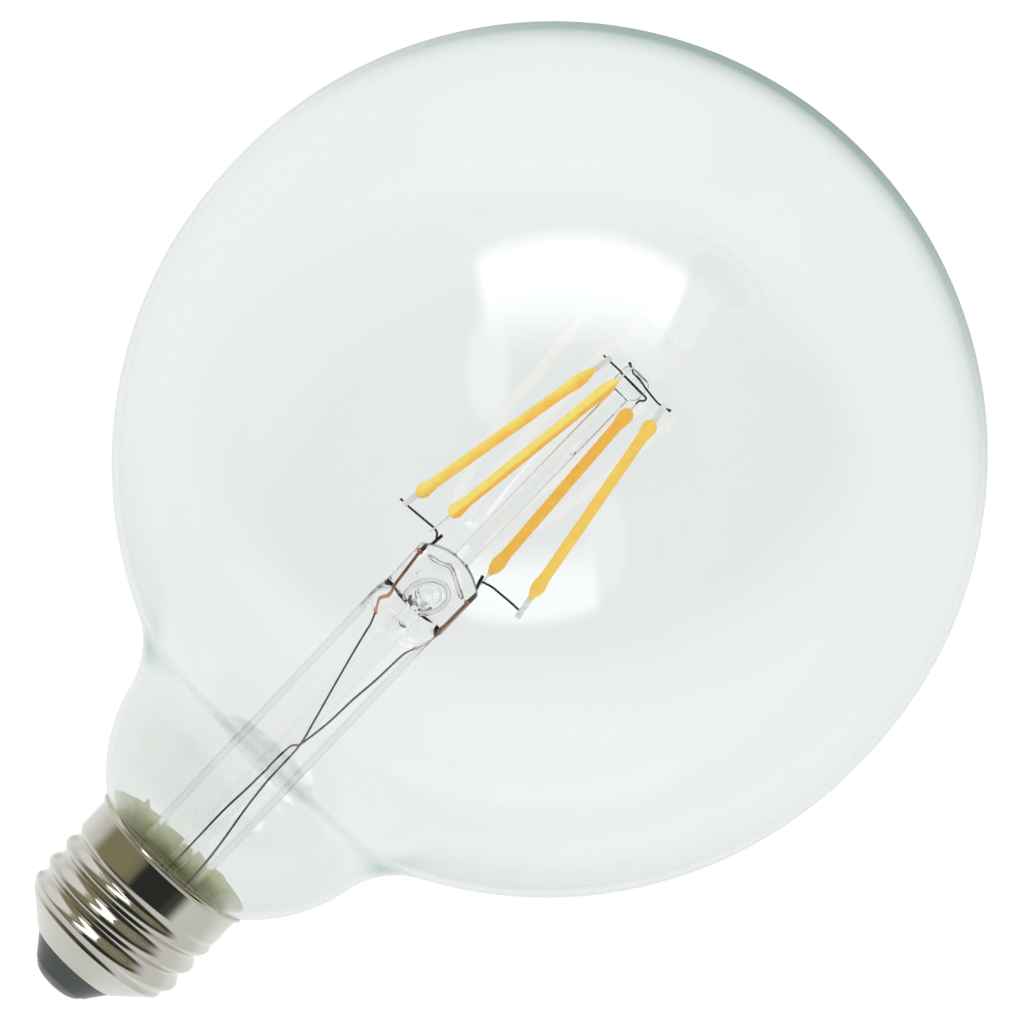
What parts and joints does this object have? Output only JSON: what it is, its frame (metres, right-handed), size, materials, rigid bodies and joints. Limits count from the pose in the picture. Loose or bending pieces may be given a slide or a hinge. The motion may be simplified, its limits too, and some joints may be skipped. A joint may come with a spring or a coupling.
{
  "type": "globe light bulb",
  "caption": "Clear globe light bulb with filament light strips on a glass stem and a medium screw base.",
  "frame": {"origin": "middle of the flat end of the centre contact, the bulb's lowest point", "axes": "+Z along the bulb's axis from the contact to the crown; X across the pressed seal, from the left lead to the right lead; -Y is the front, where the picture looks from"},
  "size_m": [0.125, 0.125, 0.1691],
  "materials": {
    "nickel_plate": "bright nickel plate",
    "base_glass": "dark cast glass",
    "contact_metal": "tinned brass",
    "clear_glass": "clear, fire polished",
    "stem_glass": "clear drawn glass",
    "cement": "baked resin cement",
    "copper_wire": "copper clad, oxidised red",
    "lead_wire": "nickel-plated wire",
    "strand_wire": "tinned wire",
    "tab_metal": "plated strip",
    "yellow_coat": "silicone with yellow phosphor",
    "orange_coat": "silicone with orange phosphor",
    "strip_ceramic": "translucent ceramic",
    "light_chip": "sapphire chip",
    "circuit_board": "solder-masked laminate",
    "black_moulding": "moulded epoxy",
    "capacitor_can": "drawn can",
    "resistor_coat": "painted coat"
  },
  "bodies": {
    "root": {"base_insulator": "base_glass", "basing_cement": "cement", "bridge_rectifier": "black_moulding", "centre_contact": "contact_metal", "contact_wire": "strand_wire", "driver_board": "circuit_board", "driver_chip": "black_moulding", "exhaust_tube": "stem_glass", "filament_1_chips": "light_chip", "filament_1_coat": "yellow_coat", "filament_1_strip": "strip_ceramic", "filament_1_tabs": "tab_metal", "filament_2_chips": "light_chip", "filament_2_coat": "yellow_coat", "filament_2_strip": "strip_ceramic", "filament_2_tabs": "tab_metal", "filament_3_chips": "light_chip", "filament_3_coat": "orange_coat", "filament_3_strip": "strip_ceramic", "filament_3_tabs": "tab_metal", "filament_4_chips": "light_chip", "filament_4_coat": "orange_coat", "filament_4_strip": "strip_ceramic", "filament_4_tabs": "tab_metal", "front_anchor_wire": "lead_wire", "fusible_resistor": "resistor_coat", "globe_glass": "clear_glass", "left_cross_wire": "lead_wire", "left_inner_lead": "lead_wire", "left_outer_lead": "strand_wire", "left_seal_wire": "copper_wire", "rear_anchor_wire": "lead_wire", "right_cross_wire": "lead_wire", "right_inner_lead": "lead_wire", "right_outer_lead": "strand_wire", "right_seal_wire": "copper_wire", "screw_shell": "nickel_plate", "shell_wire": "strand_wire", "smoothing_capacitor": "capacitor_can", "stem_tube": "stem_glass", "support_rod": "stem_glass"}
  },
  "joints": []
}
